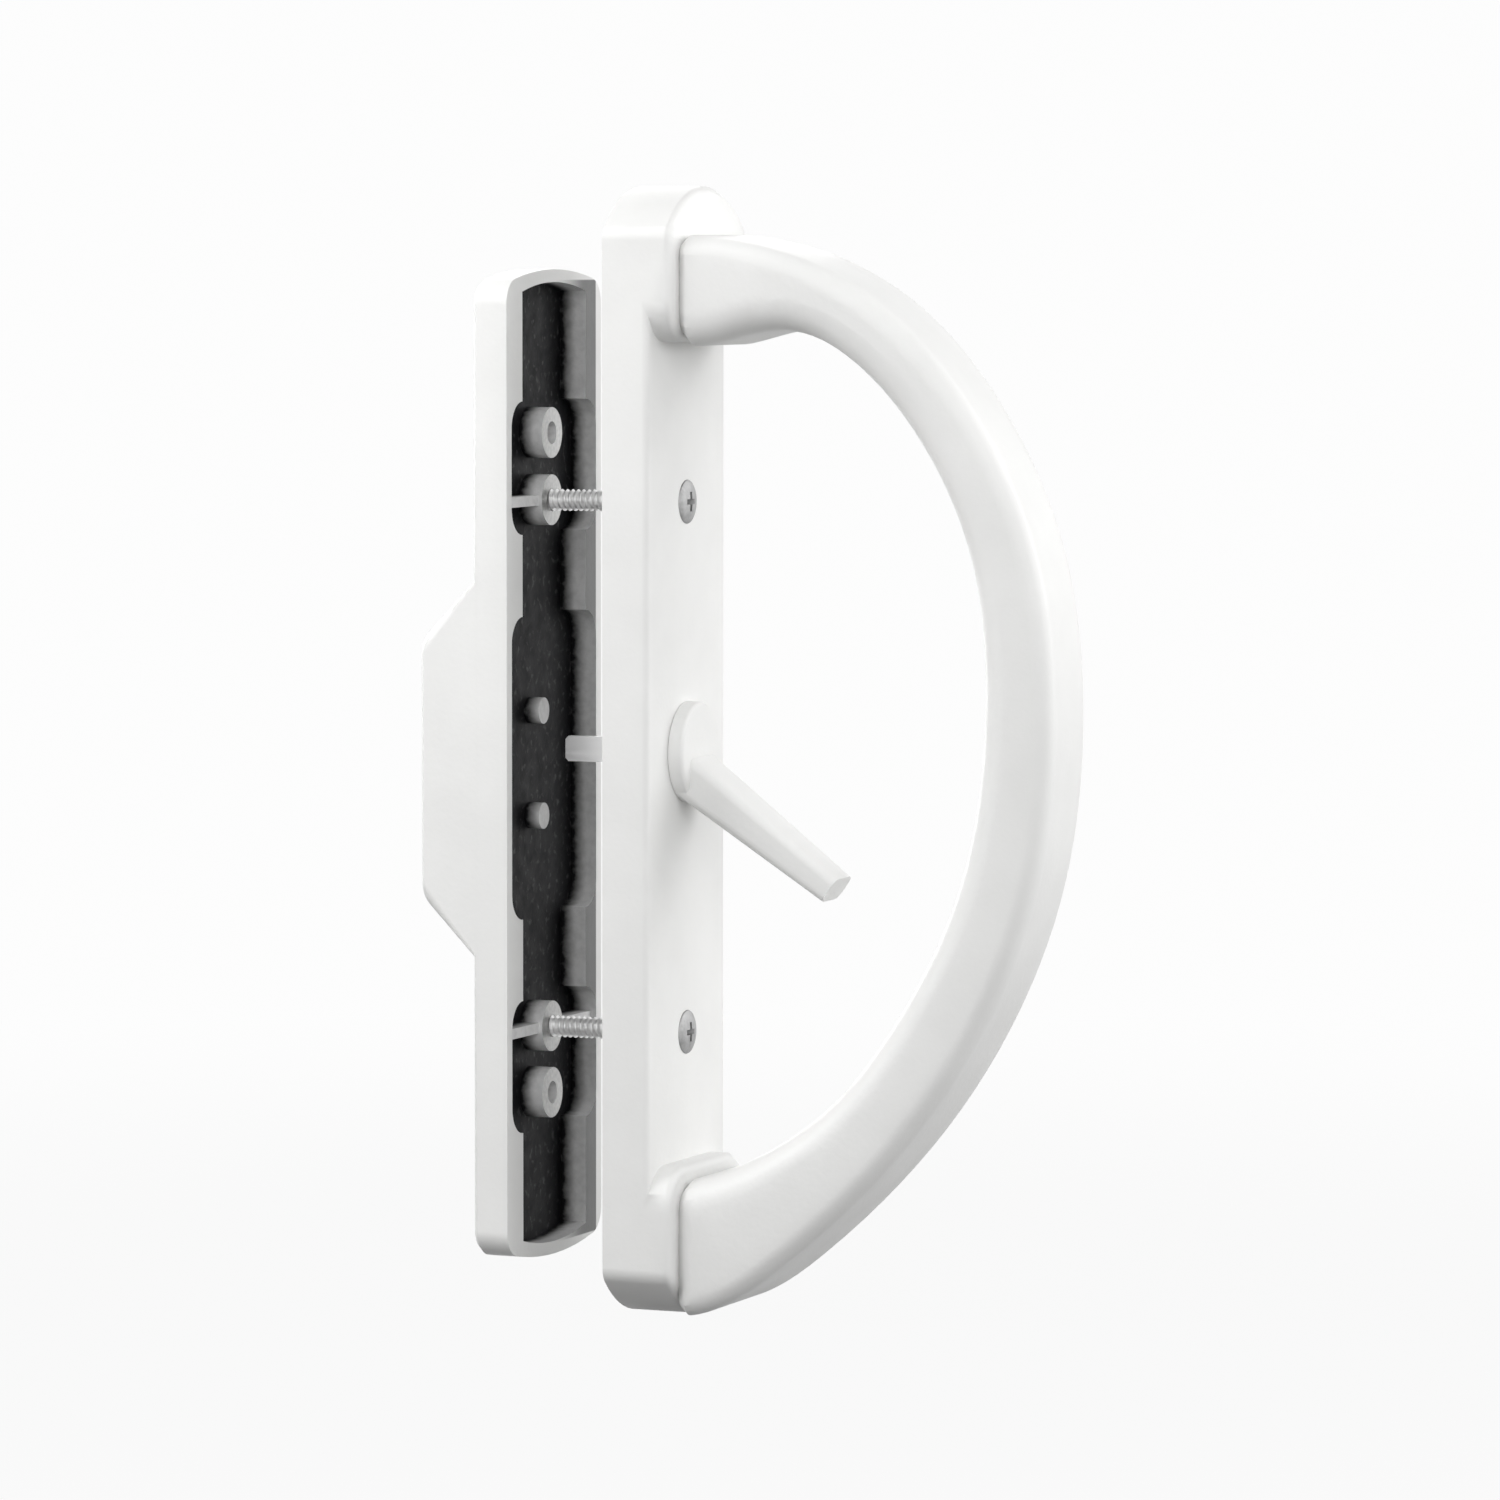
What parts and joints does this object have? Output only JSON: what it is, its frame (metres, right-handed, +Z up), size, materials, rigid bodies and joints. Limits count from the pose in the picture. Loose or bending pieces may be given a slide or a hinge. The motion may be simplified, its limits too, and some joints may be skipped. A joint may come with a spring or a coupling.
{
  "type": "patio door handle set",
  "caption": "Sliding patio door handle set: an inside D pull on a long base plate with a turning thumb lever, and a slim outside finger pull, joined through the door by long screws.",
  "frame": {"origin": "on the inside mounting face, the back rim of the inside base plate, midway between the two long mounting screws", "axes": "+X through the door towards the room, +Y across the door away from the outside finger ear, +Z up"},
  "size_m": [0.1217, 0.0446, 0.212],
  "materials": {
    "white_coat": "semi-gloss white powder coat over die cast aluminium",
    "plated_steel": "bright zinc plated steel"
  },
  "bodies": {
    "handle_set": {"inside_base": "white_coat", "inside_pull": "white_coat", "outside_pull": "white_coat", "spring_washer": "plated_steel", "mounting_screw_upper": "plated_steel", "mounting_screw_lower": "plated_steel", "pull_screw_upper_near": "plated_steel", "pull_screw_upper_far": "plated_steel", "pull_screw_lower_near": "plated_steel", "pull_screw_lower_far": "plated_steel"},
    "thumb_turn": {"thumb_lever": "white_coat", "tailpiece": "plated_steel", "tailpiece_pin": "plated_steel", "retaining_ring": "plated_steel"}
  },
  "joints": [
    {"name": "lever_turn", "type": "hinge", "parent": "handle_set", "child": "thumb_turn", "pos_m": [0, 0, 0.003], "axis": [1, 0, 0], "range_deg": [-90, 90]}
  ]
}
